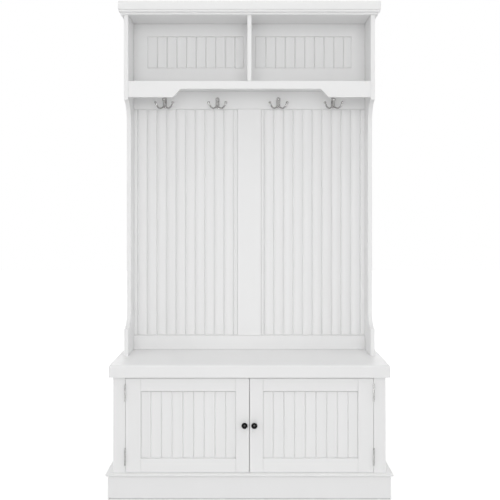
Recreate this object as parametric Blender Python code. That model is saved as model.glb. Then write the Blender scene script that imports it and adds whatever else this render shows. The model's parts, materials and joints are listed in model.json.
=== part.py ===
"""A white hall tree: a bench cabinet with two doors, and on it a hutch with four coat hooks and two cubbies.

Metres, +Z up. The origin is on the floor under the middle of the object, and the front faces -Y.
"""

import math

import bmesh
import bpy
from mathutils import Matrix, Vector

# Fits
FIT_GAP = 0.0003  # left between pieces that touch
EASE = 0.0008  # eased arrises of the boards
RAIL_LAP = 0.008  # how far a panel runs into the rebates around it

# Overall planes
REAR_Y = 0.2245
BACK_Y = 0.2075  # front of the hutch's back
HUTCH_FRONT_Y = 0.0165
FACE_Y = -0.1995  # front of the cabinet's face frame and doors
TOP_Z = 1.820

# Bench cabinet
CABINET_HALF = 0.4871
CARCASS_BOARD = 0.016
FACE_BOARD = 0.015
FACE_BACK_Y = FACE_Y + FACE_BOARD
FACE_STILE_INNER = 0.4455
CABINET_FLOOR_TOP = 0.0933
CABINET_BACK_THICK = 0.006
CABINET_BACK_BOTTOM = 0.004
STRETCHER_Y = -0.178
STRETCHER_HEIGHT = 0.040

# Bench top
BENCH_HALF = 0.5015
BENCH_FRONT_Y = -0.2155
BENCH_BOTTOM = 0.4343
BENCH_TOP = 0.4786
BENCH_ROUND = 0.009  # of the upper front edge
BENCH_SIDE_ROUND = 0.002
CARCASS_TOP = BENCH_BOTTOM - FIT_GAP

# Base board, as projections from the cabinet's faces
BASE_THICK = 0.0164
BASE_LIP = 0.025
BASE_LIP_BOTTOM = 0.0850
BASE_HEIGHT = 0.0933
BASE_GROOVE_Z = 0.0049
BASE_GROOVE_HALF = 0.0015
BASE_GROOVE_DEPTH = 0.005

# Doors
DOOR_BOTTOM = 0.0947
DOOR_TOP = 0.4300
DOOR_THICK = 0.018
DOOR_BACK_Y = FACE_Y + DOOR_THICK
DOOR_INNER = 0.00125  # half of the gap between the doors
DOOR_OUTER = 0.4430
MEETING_STILE_EDGE = 0.0485
HINGE_STILE_EDGE = 0.3885
DOOR_OPENING = (0.1430, 0.3841)  # bottom and top of the panel's opening
DOOR_PANEL_Y = FACE_Y + 0.009
DOOR_PANEL_THICK = 0.008
DOOR_GROOVES = (0.0843, 0.0383, 8)  # first groove, pitch, count

# Hutch
HUTCH_HALF = 0.4754
HUTCH_BOARD = 0.016
HUTCH_INNER = HUTCH_HALF - HUTCH_BOARD
SIDE_TOP = 1.7881
WAIST_Y = 0.110
LOWER_FLARE_Y = 0.0205
LOWER_COVE = (0.581, 0.646)
UPPER_COVE = (1.362, 1.450)
TOP_PANEL_BOTTOM = SIDE_TOP - HUTCH_BOARD
SHELF_TOP = 1.5208
SHELF_BOTTOM = SHELF_TOP - HUTCH_BOARD
APRON_THICK = 0.0155
APRON_LOW = 1.4595
APRON_HIGH = 1.4909
APRON_SLOPE = (0.266, 0.295)  # where the high and the low edge meet the slope between them
APRON_SHIFT = 0.0054  # the raised middle sits this far to the right
APRON_CORNER = 0.010

# Back of the hutch
BACK_OUTER = HUTCH_INNER - FIT_GAP
BACK_STILE_HALF = 0.0465
BACK_OPENING = (0.5338, 1.4340)
BACK_PANEL_Y = BACK_Y + 0.007
BACK_GROOVES = (0.0588, 0.0382, 11)
CUBBY_OPENING = (1.5944, 1.7223)
CUBBY_OPENING_X = (0.022, 0.405)
CUBBY_RECESS = 0.003
CUBBY_GROOVES = (0.0608, 0.03855, 9)
GROOVE_HALF = 0.0021
GROOVE_DEPTH = 0.0033

# Crown
CROWN_HALF = 0.4954
CROWN_FRONT_Y = -0.0035
CROWN_BOTTOM = SIDE_TOP + FIT_GAP
CROWN_EASE = 0.0015

# Crown moulding, from the bottom up: (projection, height) where each curve starts and ends
CROWN_COVE = ((0.0055, 0.0), (0.0100, 0.0030))
CROWN_OVOLO = ((0.0107, 0.0068), (0.0180, 0.0134))
MOULDING_HEIGHT = 0.0186

# Hooks, from the middle of the plate's back on the hook rail
HOOK_X = (-0.336, -0.127, 0.1145, 0.3315)
HOOK_Z = 1.458
HOOK_PLATE = (0.015, 0.003, 0.044)
HOOK_ROD = 0.0033
HOOK_BALL = 0.0053
PRONG_ROD = 0.0039
PRONG_BALL = 0.0077
ARM_ROUTE = (
    (0.0, -0.0095, -0.0135),
    (0.008, -0.0135, -0.0195),
    (0.0175, -0.022, -0.0235),
    (0.0270, -0.030, -0.0175),
    (0.0325, -0.034, -0.0055),
)
PRONG_ROUTE = (
    (0.0, -0.001, -0.008),
    (0.0, -0.013, -0.0105),
    (0.0, -0.027, -0.006),
    (0.0, -0.037, 0.004),
)

# Knobs: (radius, distance from the door) from the base to the face
KNOB_X = 0.0175
KNOB_Z = 0.2632
KNOB_SIDES = 20
KNOB_PROFILE = (
    (0.0065, FIT_GAP),
    (0.0062, 0.0025),
    (0.0045, 0.0060),
    (0.0050, 0.0100),
    (0.0085, 0.0125),
    (0.0106, 0.0155),
    (0.0110, 0.0172),
    (0.0102, 0.0195),
    (0.0072, 0.0213),
    (0.0030, 0.0220),
)

# Hinges
HINGE_X = 0.44425
HINGE_Y = FACE_Y - 0.003
HINGE_Z = (0.1498, 0.3791)
HINGE_LENGTH = 0.060
KNUCKLE_RADIUS = 0.00275
KNUCKLE_BORE = 0.0015
PIN_RADIUS = 0.00125
PIN_HEAD = ((0.0024, 0.0), (0.0021, 0.0008), (0.0012, 0.0016))  # (radius, height) from the knuckle out
LEAF_THICK = 0.0008
LEAF_DEPTH = 0.019
LEAF_SPLIT = FIT_GAP  # between the two leaves
KNUCKLE_SIDES = 12

# Catch
CATCH_SIZE = (0.046, 0.0175, 0.0137)
STRIKE_SIZE = (0.016, 0.001, 0.013)
STRIKE_X = 0.013

FINISHES = {
    "white_paint": ((0.80, 0.80, 0.80), 0.42, 0.0),
    "satin_nickel": ((0.55, 0.54, 0.52), 0.28, 1.0),
    "black_metal": ((0.012, 0.012, 0.012), 0.35, 0.6),
    "hinge_steel": ((0.52, 0.52, 0.52), 0.40, 1.0),
    "catch_plastic": ((0.75, 0.75, 0.74), 0.50, 0.0),
}


def clear_scene():
    for obj in list(bpy.data.objects):
        bpy.data.objects.remove(obj, do_unlink=True)


# Meshes. Each one is built where it belongs; place() then moves its origin.


def box(low, high, ease=EASE):
    """A board between two corners, with eased arrises."""
    bm = bmesh.new()
    bmesh.ops.create_cube(bm, size=1.0)
    size = Vector(high) - Vector(low)
    bmesh.ops.transform(bm, matrix=Matrix.Diagonal((*size, 1.0)), verts=bm.verts)
    bmesh.ops.translate(bm, vec=(Vector(high) + Vector(low)) / 2, verts=bm.verts)
    if ease:
        bmesh.ops.bevel(bm, geom=bm.edges[:], offset=ease, segments=1, affect="EDGES")
    return finished(bm)


def loft(*outlines):
    """A closed solid through matching rings of points."""
    bm = bmesh.new()
    rings = [[bm.verts.new(point) for point in outline] for outline in outlines]
    bm.faces.new(rings[0])
    bm.faces.new(rings[-1])
    for first, second in zip(rings, rings[1:]):
        for i, corner in enumerate(first):
            bm.faces.new((corner, first[i - 1], second[i - 1], second[i]))
    return finished(bm)


def finished(bm):
    """The mesh of bm, with its faces pointing out."""
    bmesh.ops.recalc_face_normals(bm, faces=bm.faces)
    mesh = bpy.data.meshes.new("shape")
    bm.to_mesh(mesh)
    bm.free()
    return mesh


def tube(centres, radii, sides):
    """A round rod through the centres, with a radius at each and flat ends."""
    bm = bmesh.new()
    centres = [Vector(centre) for centre in centres]
    rings = []
    side = None
    for i, centre in enumerate(centres):
        forward = (centres[min(i + 1, len(centres) - 1)] - centres[max(i - 1, 0)]).normalized()
        if side is None:
            side = forward.orthogonal().normalized()
        side = (side - forward * side.dot(forward)).normalized()
        other = forward.cross(side)
        turns = [2 * math.pi * k / sides for k in range(sides)]
        points = [centre + radii[i] * (math.cos(t) * side + math.sin(t) * other) for t in turns]
        rings.append([bm.verts.new(point) for point in points])
    for first, second in zip(rings, rings[1:]):
        for k in range(sides):
            bm.faces.new((first[k], first[k - 1], second[k - 1], second[k]))
    bm.faces.new(rings[0])
    bm.faces.new(rings[-1])
    mesh = finished(bm)
    mesh.shade_smooth()
    mesh.set_sharp_from_angle(angle=math.radians(40))
    return mesh


def upright(low, high, radius):
    """A round rod on the Z axis."""
    return tube(((0, 0, low), (0, 0, high)), (radius, radius), KNUCKLE_SIDES)


# Outlines


def arc(centre, radii, start, end, steps):
    """Points on an ellipse's arc in a plane, between two angles in degrees."""
    angles = [math.radians(start + (end - start) * k / steps) for k in range(steps + 1)]
    return [(centre[0] + radii[0] * math.cos(a), centre[1] + radii[1] * math.sin(a)) for a in angles]


def grooved_edge(grooves, y, sign):
    """The front edge of a beadboard seen from above: V grooves cut into the plane y, in order along X."""
    first, pitch, count = grooves
    points = []
    for k in range(count):
        x = sign * (first + pitch * k)
        notch = ((x - sign * GROOVE_HALF, y), (x, y + GROOVE_DEPTH), (x + sign * GROOVE_HALF, y))
        points.extend(notch)
    return points


def beadboard(sign, inner, outer, front, rear, grooves, low, high):
    """A board with grooves in its front, from x = inner to x = outer on the side that sign gives."""
    outline = [(sign * inner, front), *grooved_edge(grooves, front, sign), (sign * outer, front)]
    outline += [(sign * outer, rear), (sign * inner, rear)]
    return loft([(x, y, low) for x, y in outline], [(x, y, high) for x, y in outline])


def smooth_route(route, steps):
    """Points on a smooth curve through a route's points (Catmull-Rom)."""
    knots = [Vector(point) for point in route]
    knots = [2 * knots[0] - knots[1], *knots, 2 * knots[-1] - knots[-2]]
    points = []
    for a, b, c, d in zip(knots, knots[1:], knots[2:], knots[3:]):
        for k in range(steps):
            t = k / steps
            bend = (2 * a - 5 * b + 4 * c - d) * t + (3 * b - a - 3 * c + d) * t * t
            points.append(b + ((c - a) + bend) * t / 2)
    return [*points, knots[-2]]


def ball_end(centres, rod, ball, steps=5):
    """The centres and radii that end a rod in a ball."""
    forward = (centres[-1] - centres[-2]).normalized()
    middle = centres[-1] + forward * math.sqrt(ball * ball - rod * rod)
    start = -math.acos(rod / ball)
    angles = [start + (math.radians(75) - start) * k / steps for k in range(1, steps + 1)]
    return [middle + forward * ball * math.sin(a) for a in angles], [ball * math.cos(a) for a in angles]


def hook_prong():
    route = smooth_route(PRONG_ROUTE, 3)
    end, radii = ball_end(route, PRONG_ROD, PRONG_BALL)
    return tube(route + end, [PRONG_ROD] * len(route) + radii, 8)


def hook_arms():
    """Both lower arms as one rod, from ball to ball."""
    mirrored_half = [(-x, y, z) for x, y, z in ARM_ROUTE[:0:-1]]
    route = smooth_route(mirrored_half + list(ARM_ROUTE), 3)
    end, radii = ball_end(route, HOOK_ROD, HOOK_BALL)
    start = [Vector((-x, y, z)) for x, y, z in reversed(end)]
    return tube(start + route + end, radii[::-1] + [HOOK_ROD] * len(route) + radii, 8)


# Objects


def new_material(name, finish):
    color, roughness, metallic = FINISHES[finish]
    material = bpy.data.materials.new(f"{name}_{finish}")
    material.use_nodes = True
    shader = material.node_tree.nodes["Principled BSDF"]
    shader.inputs["Base Color"].default_value = (*color, 1.0)
    shader.inputs["Roughness"].default_value = roughness
    shader.inputs["Metallic"].default_value = metallic
    material.diffuse_color = (*color, 1.0)
    return material


def new_object(name, mesh):
    mesh.name = name
    obj = bpy.data.objects.new(name, mesh)
    bpy.context.scene.collection.objects.link(obj)
    return obj


def place(name, mesh, finish="white_paint", parent=None):
    """Puts a piece in the scene with its origin in the middle of its box, on its parent if it has one."""
    corners = [vertex.co for vertex in mesh.vertices]
    low = Vector(min(co[i] for co in corners) for i in range(3))
    high = Vector(max(co[i] for co in corners) for i in range(3))
    middle = (low + high) / 2
    mesh.transform(Matrix.Translation(-middle))
    mesh.materials.clear()
    mesh.materials.append(new_material(name, finish))
    obj = new_object(name, mesh)
    obj.location = middle
    if parent:
        obj.parent = parent
        obj.location = middle - parent.location
    return obj


def boolean(obj, other, operation):
    modifier = obj.modifiers.new(f"{operation.lower()}_{other.name}", "BOOLEAN")
    modifier.operation = operation
    modifier.object = other


def cutter(name, mesh):
    """A hidden shape that cuts others."""
    obj = new_object(name, mesh)
    obj.hide_render = True
    obj.display_type = "WIRE"
    return obj


def combined(base, added, cut=()):
    """One mesh from a base mesh, the meshes added to it and those then cut from it."""
    obj = new_object("combined_base", base)
    helpers = []
    for operation, meshes in (("UNION", added), ("DIFFERENCE", cut)):
        for mesh in meshes:
            helper = new_object(f"combined_{len(helpers)}", mesh)
            helpers.append(helper)
            boolean(obj, helper, operation)
    graph = bpy.context.evaluated_depsgraph_get()
    mesh = bpy.data.meshes.new_from_object(obj.evaluated_get(graph))
    for helper in (obj, *helpers):
        bpy.data.objects.remove(helper, do_unlink=True)
    return mesh


def rebate(name, members, low, high):
    """Cuts the pocket that holds a panel into the members around it."""
    pocket = cutter(name, box(low, high, ease=0))
    for member in members:
        boolean(member, pocket, "DIFFERENCE")


def mirrored(sign, near, far):
    """The low and high x of something from near to far on one side."""
    return tuple(sorted((sign * near, sign * far)))


SIDES = (("left", -1), ("right", 1))


# Hutch


def make_sides():
    rear = [(REAR_Y, SIDE_TOP), (REAR_Y, BENCH_TOP + FIT_GAP), (LOWER_FLARE_Y, BENCH_TOP + FIT_GAP)]
    lower_radii = (WAIST_Y - LOWER_FLARE_Y, LOWER_COVE[1] - LOWER_COVE[0])
    upper_radii = (WAIST_Y - HUTCH_FRONT_Y, UPPER_COVE[1] - UPPER_COVE[0])
    lower = arc((LOWER_FLARE_Y, LOWER_COVE[1]), lower_radii, -90, 0, 8)
    upper = arc((HUTCH_FRONT_Y, UPPER_COVE[0]), upper_radii, 0, 90, 8)
    outline = [*rear, *lower, *upper, (HUTCH_FRONT_Y, SIDE_TOP)]
    for side, sign in SIDES:
        rings = [[(x, y, z) for y, z in outline] for x in mirrored(sign, HUTCH_INNER, HUTCH_HALF)]
        place(f"side_{side}", loft(*rings))


def apron_half():
    """The lower edge of the apron on its right half, from the middle outwards."""
    high_x, low_x = APRON_SLOPE
    slope = math.degrees(math.atan2(APRON_HIGH - APRON_LOW, low_x - high_x))
    reach = APRON_CORNER * math.tan(math.radians(slope / 2))
    high = (high_x - reach, APRON_HIGH - APRON_CORNER)
    low = (low_x + reach, APRON_LOW + APRON_CORNER)
    radii = (APRON_CORNER, APRON_CORNER)
    return [*arc(high, radii, 90, 90 - slope, 3), *arc(low, radii, 270 - slope, 270, 3)]


def make_apron():
    half = apron_half()
    left = [(APRON_SHIFT - x, z) for x, z in reversed(half)]
    right = [(APRON_SHIFT + x, z) for x, z in half]
    right_end = [(BACK_OUTER, APRON_LOW), (BACK_OUTER, SHELF_TOP)]
    left_end = [(-BACK_OUTER, SHELF_TOP), (-BACK_OUTER, APRON_LOW)]
    outline = [*left, *right, *right_end, *left_end]
    rings = [[(x, y, z) for x, z in outline] for y in (HUTCH_FRONT_Y, HUTCH_FRONT_Y + APRON_THICK)]
    place("apron", loft(*rings))


def make_back():
    """The hook rail, the centre stile and the bottom rail, with a beadboard on each side of the stile."""
    low, high = BACK_OPENING
    rail_ends = (-BACK_OUTER, BACK_OUTER)
    hook_rail = place(
        "hook_rail",
        box((rail_ends[0], BACK_Y, high), (rail_ends[1], REAR_Y, SHELF_BOTTOM - FIT_GAP)),
    )
    bottom_rail = place(
        "back_bottom_rail",
        box((rail_ends[0], BACK_Y, BENCH_TOP + FIT_GAP), (rail_ends[1], REAR_Y, low)),
    )
    stile = place(
        "back_centre_stile",
        box((-BACK_STILE_HALF, BACK_Y, low + FIT_GAP), (BACK_STILE_HALF, REAR_Y, high - FIT_GAP)),
    )
    inner = BACK_STILE_HALF - RAIL_LAP
    rear = REAR_Y - FIT_GAP
    for side, sign in SIDES:
        panel = beadboard(
            sign, inner, BACK_OUTER, BACK_PANEL_Y, rear, BACK_GROOVES, low - RAIL_LAP, high + RAIL_LAP
        )
        place(f"beadboard_{side}", panel)
        x_low, x_high = mirrored(sign, inner - FIT_GAP, HUTCH_HALF)
        rebate(
            f"beadboard_pocket_{side}",
            (hook_rail, bottom_rail, stile),
            (x_low, BACK_PANEL_Y - FIT_GAP, low - RAIL_LAP - FIT_GAP),
            (x_high, REAR_Y + RAIL_LAP, high + RAIL_LAP + FIT_GAP),
        )


def make_cubby_back():
    """One board behind both cubbies, with a grooved field sunk into its face behind each."""
    board = place(
        "cubby_back",
        box((-BACK_OUTER, BACK_Y, SHELF_TOP + FIT_GAP), (BACK_OUTER, REAR_Y, TOP_PANEL_BOTTOM - FIT_GAP)),
    )
    inner, outer = CUBBY_OPENING_X
    for side, sign in SIDES:
        field = beadboard(
            sign, inner, outer, BACK_Y + CUBBY_RECESS, BACK_Y - RAIL_LAP, CUBBY_GROOVES, *CUBBY_OPENING
        )
        boolean(board, cutter(f"cubby_field_{side}", field), "DIFFERENCE")


def make_cubbies():
    place(
        "top_panel",
        box((-BACK_OUTER, HUTCH_FRONT_Y, TOP_PANEL_BOTTOM), (BACK_OUTER, REAR_Y, SIDE_TOP)),
    )
    shelf_front = HUTCH_FRONT_Y + APRON_THICK + FIT_GAP
    place("shelf", box((-BACK_OUTER, shelf_front, SHELF_BOTTOM), (BACK_OUTER, REAR_Y, SHELF_TOP)))
    half = HUTCH_BOARD / 2
    place(
        "cubby_divider",
        box(
            (-half, HUTCH_FRONT_Y, SHELF_TOP + FIT_GAP),
            (half, BACK_Y - FIT_GAP, TOP_PANEL_BOTTOM - FIT_GAP),
        ),
    )


# Mouldings that wrap round the front and both sides, mitred at the front corners


def wrap(name, profile, half, front_y):
    """Front, left and right pieces of a moulding. The profile holds (projection, height) points."""
    mitre = FIT_GAP / math.sqrt(2)
    front = [
        [(sign * (half + out - mitre), front_y - out, z) for out, z in profile] for _, sign in SIDES
    ]
    place(f"{name}_front", loft(*front))
    for side, sign in SIDES:
        near = [(sign * (half + out), front_y - out + mitre, z) for out, z in profile]
        far = [(sign * (half + out), REAR_Y, z) for out, z in profile]
        place(f"{name}_{side}", loft(near, far))


def cove(start, end):
    """A hollow quarter round that leaves its start upwards and reaches its end level."""
    radii = (end[0] - start[0], end[1] - start[1])
    return arc((end[0], start[1]), radii, 180, 90, 3)


def ovolo(start, end):
    """A full quarter round that leaves its start level and reaches its end upwards."""
    radii = (end[0] - start[0], end[1] - start[1])
    return arc((start[0], end[1]), radii, -90, 0, 4)


def crown_profile():
    """A small cove, a fillet, an ovolo and a fillet under the crown board."""
    bottom = SIDE_TOP - MOULDING_HEIGHT
    points = [(FIT_GAP, 0.0), *cove(*CROWN_COVE), (CROWN_OVOLO[0][0], CROWN_COVE[1][1]), *ovolo(*CROWN_OVOLO)]
    points += [(CROWN_OVOLO[1][0], MOULDING_HEIGHT), (FIT_GAP, MOULDING_HEIGHT)]
    return [(out, bottom + height) for out, height in points]


def base_profile():
    """A flat board with a shadow groove near the floor and a rounded lip along its top."""
    groove = BASE_THICK - BASE_GROOVE_DEPTH
    low, high = BASE_GROOVE_Z - BASE_GROOVE_HALF, BASE_GROOVE_Z + BASE_GROOVE_HALF
    points = [(FIT_GAP, 0.0), (BASE_THICK, 0.0), (BASE_THICK, low), (groove, low), (groove, high)]
    points += [(BASE_THICK, high), (BASE_THICK, BASE_LIP_BOTTOM)]
    radius = (BASE_HEIGHT - BASE_LIP_BOTTOM) / 2
    points += arc((BASE_LIP - radius, BASE_LIP_BOTTOM + radius), (radius, radius), -90, 90, 6)
    return [*points, (FIT_GAP, BASE_HEIGHT)]


def make_crown():
    wrap("crown_moulding", crown_profile(), HUTCH_HALF, HUTCH_FRONT_Y)
    place(
        "crown_board",
        box((-CROWN_HALF, CROWN_FRONT_Y, CROWN_BOTTOM), (CROWN_HALF, REAR_Y, TOP_Z), ease=CROWN_EASE),
    )


# Hooks


def hook_mesh():
    """A plate with an upper prong and a double lower arm, each ending in a ball."""
    width, thick, height = HOOK_PLATE
    plate = box((-width / 2, -thick, -height / 2), (width / 2, 0, height / 2), ease=0.001)
    return combined(plate, (hook_prong(), hook_arms()))


def make_hooks():
    mesh = hook_mesh()
    mesh.materials.clear()
    mesh.materials.append(new_material("hook", "satin_nickel"))
    for number, x in enumerate(HOOK_X, 1):
        hook = bpy.data.objects.new(f"hook_{number}", mesh)
        bpy.context.scene.collection.objects.link(hook)
        hook.location = (x, BACK_Y - FIT_GAP, HOOK_Z)


# Bench


def bench_section(sign, inset):
    """The bench top's end, seen from the side, with its upper edges drawn in by inset."""
    x = sign * (BENCH_HALF - inset)
    round_radii = (BENCH_ROUND - inset, BENCH_ROUND - inset)
    centre = (BENCH_FRONT_Y + BENCH_ROUND, BENCH_TOP - BENCH_ROUND)
    front = arc(centre, round_radii, 180, 90, 5)
    rear = [(REAR_Y, BENCH_TOP - inset), (REAR_Y, BENCH_BOTTOM + inset)]
    corner = (BENCH_FRONT_Y + inset, BENCH_BOTTOM + inset)
    lower = [(corner[0] + EASE, corner[1]), (corner[0], corner[1] + EASE)]
    return [(x, y, z) for y, z in [*front, *rear, *lower]]


def bench_top_mesh():
    """A thick top, its upper front edge rounded over and its ends eased."""
    insets = (BENCH_SIDE_ROUND, 0.0)
    sections = [bench_section(-1, inset) for inset in insets]
    sections += [bench_section(1, inset) for inset in reversed(insets)]
    return loft(*sections)


def make_bench():
    place("bench_top", bench_top_mesh())
    inner = CABINET_HALF - CARCASS_BOARD
    across = inner - FIT_GAP
    carcass_front = FACE_BACK_Y + FIT_GAP
    for side, sign in SIDES:
        x_low, x_high = mirrored(sign, inner, CABINET_HALF)
        place(f"cabinet_side_{side}", box((x_low, carcass_front, 0), (x_high, REAR_Y, CARCASS_TOP)))
        x_low, x_high = mirrored(sign, FACE_STILE_INNER, CABINET_HALF)
        place(f"face_stile_{side}", box((x_low, FACE_Y, 0), (x_high, FACE_BACK_Y, CARCASS_TOP)))
    rail_half = FACE_STILE_INNER - FIT_GAP
    place("face_bottom_rail", box((-rail_half, FACE_Y, 0), (rail_half, FACE_BACK_Y, CABINET_FLOOR_TOP)))
    back_front = REAR_Y - CABINET_BACK_THICK
    place("cabinet_back", box((-across, back_front, CABINET_BACK_BOTTOM), (across, REAR_Y, CARCASS_TOP)))
    floor_bottom = CABINET_FLOOR_TOP - CARCASS_BOARD
    floor_rear = back_front - FIT_GAP
    floor_low = (-across, carcass_front, floor_bottom)
    place("cabinet_floor", box(floor_low, (across, floor_rear, CABINET_FLOOR_TOP)))
    stretcher_rear = STRETCHER_Y + CARCASS_BOARD
    place(
        "front_stretcher",
        box((-across, STRETCHER_Y, CARCASS_TOP - STRETCHER_HEIGHT), (across, stretcher_rear, CARCASS_TOP)),
    )
    half = CARCASS_BOARD / 2
    place(
        "centre_partition",
        box(
            (-half, stretcher_rear + FIT_GAP, CABINET_FLOOR_TOP + FIT_GAP),
            (half, floor_rear, CARCASS_TOP),
        ),
    )
    wrap("base_board", base_profile(), CABINET_HALF, FACE_Y)


def make_catch():
    width, depth, height = CATCH_SIZE
    top = CARCASS_TOP - STRETCHER_HEIGHT - FIT_GAP
    front = DOOR_BACK_Y + 2 * FIT_GAP + STRIKE_SIZE[1]
    place(
        "magnetic_catch",
        box((-width / 2, front, top - height), (width / 2, front + depth, top)),
        "catch_plastic",
    )


# Doors


def hinge_axis(side, sign):
    """The empty that a door turns with. It sits on the line of the hinge pins."""
    axis = bpy.data.objects.new(f"door_axis_{side}", None)
    bpy.context.scene.collection.objects.link(axis)
    axis.location = (sign * HINGE_X, HINGE_Y, DOOR_BOTTOM)
    return axis


def make_door_frame(side, sign, axis):
    low, high = DOOR_OPENING

    def member(name, near, far, bottom, top):
        x_low, x_high = mirrored(sign, near, far)
        shape = box((x_low, FACE_Y, bottom), (x_high, DOOR_BACK_Y, top))
        return place(f"door_{side}_{name}", shape, parent=axis)

    inner = MEETING_STILE_EDGE
    outer = HINGE_STILE_EDGE
    members = [
        member("hinge_stile", outer, DOOR_OUTER, DOOR_BOTTOM, DOOR_TOP),
        member("meeting_stile", DOOR_INNER, inner, DOOR_BOTTOM, DOOR_TOP),
        member("top_rail", inner + FIT_GAP, outer - FIT_GAP, high, DOOR_TOP),
        member("bottom_rail", inner + FIT_GAP, outer - FIT_GAP, DOOR_BOTTOM, low),
    ]
    x_low, x_high = mirrored(sign, inner - RAIL_LAP - FIT_GAP, outer + RAIL_LAP + FIT_GAP)
    rebate(
        f"door_pocket_{side}",
        members,
        (x_low, DOOR_PANEL_Y - FIT_GAP, low - RAIL_LAP - FIT_GAP),
        (x_high, DOOR_BACK_Y + RAIL_LAP, high + RAIL_LAP + FIT_GAP),
    )


def make_door(side, sign):
    axis = hinge_axis(side, sign)
    make_door_frame(side, sign, axis)
    low, high = DOOR_OPENING
    panel = beadboard(
        sign,
        MEETING_STILE_EDGE - RAIL_LAP,
        HINGE_STILE_EDGE + RAIL_LAP,
        DOOR_PANEL_Y,
        DOOR_PANEL_Y + DOOR_PANEL_THICK,
        DOOR_GROOVES,
        low - RAIL_LAP,
        high + RAIL_LAP,
    )
    place(f"door_{side}_panel", panel, parent=axis)
    place(f"knob_{side}", knob_mesh(sign), "black_metal", axis)
    width, thick, height = STRIKE_SIZE
    x_low, x_high = sorted((sign * (STRIKE_X - width / 2), sign * (STRIKE_X + width / 2)))
    strike_y = DOOR_BACK_Y + FIT_GAP
    top = CARCASS_TOP - STRETCHER_HEIGHT - 2 * FIT_GAP
    strike = box((x_low, strike_y, top - height), (x_high, strike_y + thick, top), ease=0)
    place(f"strike_plate_{side}", strike, "hinge_steel", axis)
    return axis


def knob_mesh(sign):
    """A round knob on a slim neck, turned about a line that points to the front."""
    centres = [(sign * KNOB_X, FACE_Y - out, KNOB_Z) for _, out in KNOB_PROFILE]
    return tube(centres, [radius for radius, _ in KNOB_PROFILE], KNOB_SIDES)


# Hinges. A frame leaf holds the two end knuckles, a door leaf holds the middle one.


def leaf_mesh(side_of_axis, knuckles):
    """A leaf beside the pin's axis, with knuckles over the given stretches of its length."""
    near = LEAF_SPLIT / 2
    x_low, x_high = mirrored(side_of_axis, near, near + LEAF_THICK)
    half = HINGE_LENGTH / 2
    plate = box((x_low, KNUCKLE_RADIUS + FIT_GAP, -half), (x_high, LEAF_DEPTH, half), ease=0)
    added = []
    for low, high in knuckles:
        wrist_y = (KNUCKLE_BORE + KNUCKLE_RADIUS) / 2
        added.append(box((x_low, wrist_y, low), (x_high, KNUCKLE_RADIUS + 2 * FIT_GAP, high), ease=0))
        added.append(upright(low, high, KNUCKLE_RADIUS))
    return combined(plate, added, (upright(-half - LEAF_THICK, half + LEAF_THICK, KNUCKLE_BORE),))


def pin_mesh():
    """A pin with a low domed head at each end, just past the knuckles."""
    end = HINGE_LENGTH / 2 + FIT_GAP
    upper = [(PIN_RADIUS, end)] + [(radius, end + height) for radius, height in PIN_HEAD]
    profile = [(radius, -z) for radius, z in reversed(upper)] + upper
    return tube([(0, 0, z) for _, z in profile], [radius for radius, _ in profile], KNUCKLE_SIDES)


def make_hinges(axes):
    half = HINGE_LENGTH / 2
    third = HINGE_LENGTH / 6
    split = FIT_GAP / 2
    frame_leaf = leaf_mesh(1, ((-half, -third - split), (third + split, half)))
    door_leaf = leaf_mesh(-1, ((-third + split, third - split),))
    pin = pin_mesh()
    kinds = (("frame_leaf", frame_leaf), ("door_leaf", door_leaf), ("pin", pin))
    for kind, mesh in kinds:
        mesh.materials.clear()
        mesh.materials.append(new_material(f"hinge_{kind}", "hinge_steel"))
    for side, sign in SIDES:
        for level, z in zip(("lower", "upper"), HINGE_Z):
            for kind, mesh in kinds:
                piece = bpy.data.objects.new(f"hinge_{side}_{level}_{kind}", mesh)
                bpy.context.scene.collection.objects.link(piece)
                piece.location = (sign * HINGE_X, HINGE_Y, z)
                if sign < 0:
                    piece.rotation_euler = (0, math.pi, 0)
                if kind == "door_leaf":
                    piece.parent = axes[side]
                    piece.location -= axes[side].location


clear_scene()
make_sides()
make_apron()
make_back()
make_cubby_back()
make_cubbies()
make_crown()
make_hooks()
make_bench()
make_catch()
make_hinges({side: make_door(side, sign) for side, sign in SIDES})
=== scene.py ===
"""The looks of the white hall tree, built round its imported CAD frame. Metres, +Z up, the front faces -Y."""

import json
import math

import bmesh
import bpy
from mathutils import Matrix, Vector


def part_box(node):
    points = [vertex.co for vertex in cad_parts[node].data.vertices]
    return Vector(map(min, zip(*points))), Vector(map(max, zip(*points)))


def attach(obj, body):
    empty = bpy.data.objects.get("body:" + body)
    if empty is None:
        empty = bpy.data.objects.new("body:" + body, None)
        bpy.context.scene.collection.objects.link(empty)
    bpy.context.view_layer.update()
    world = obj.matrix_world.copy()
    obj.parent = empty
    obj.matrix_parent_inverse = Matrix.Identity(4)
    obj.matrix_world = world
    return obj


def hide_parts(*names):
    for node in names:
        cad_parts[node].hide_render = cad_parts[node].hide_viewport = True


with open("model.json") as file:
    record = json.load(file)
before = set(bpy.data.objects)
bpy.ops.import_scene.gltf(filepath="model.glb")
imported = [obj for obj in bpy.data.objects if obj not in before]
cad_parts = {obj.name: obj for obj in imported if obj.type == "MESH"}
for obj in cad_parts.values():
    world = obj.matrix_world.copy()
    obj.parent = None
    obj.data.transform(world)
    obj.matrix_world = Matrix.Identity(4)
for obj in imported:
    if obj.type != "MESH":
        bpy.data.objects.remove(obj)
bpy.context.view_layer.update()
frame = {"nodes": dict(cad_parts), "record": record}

SIDES = (("left", -1), ("right", 1))
FIT_GAP = 0.0003
ARRIS = 0.0009  # rounded arris of a painted board
ARRIS_ANGLE = math.radians(40)  # edges where faces meet at more than this are rounded
SHARP_ANGLE = math.radians(35)  # and edges at more than this are shaded sharp

# Camera: level, far back, with the lens shifted down
CAMERA_DISTANCE = 4.04  # to the front of the hutch's back
CAMERA_HEIGHT = 1.0207
CAMERA_LENS = 73.2  # mm
CAMERA_SENSOR = 36.0  # mm wide
CAMERA_SHIFT = (0.0011, -0.074)

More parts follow.
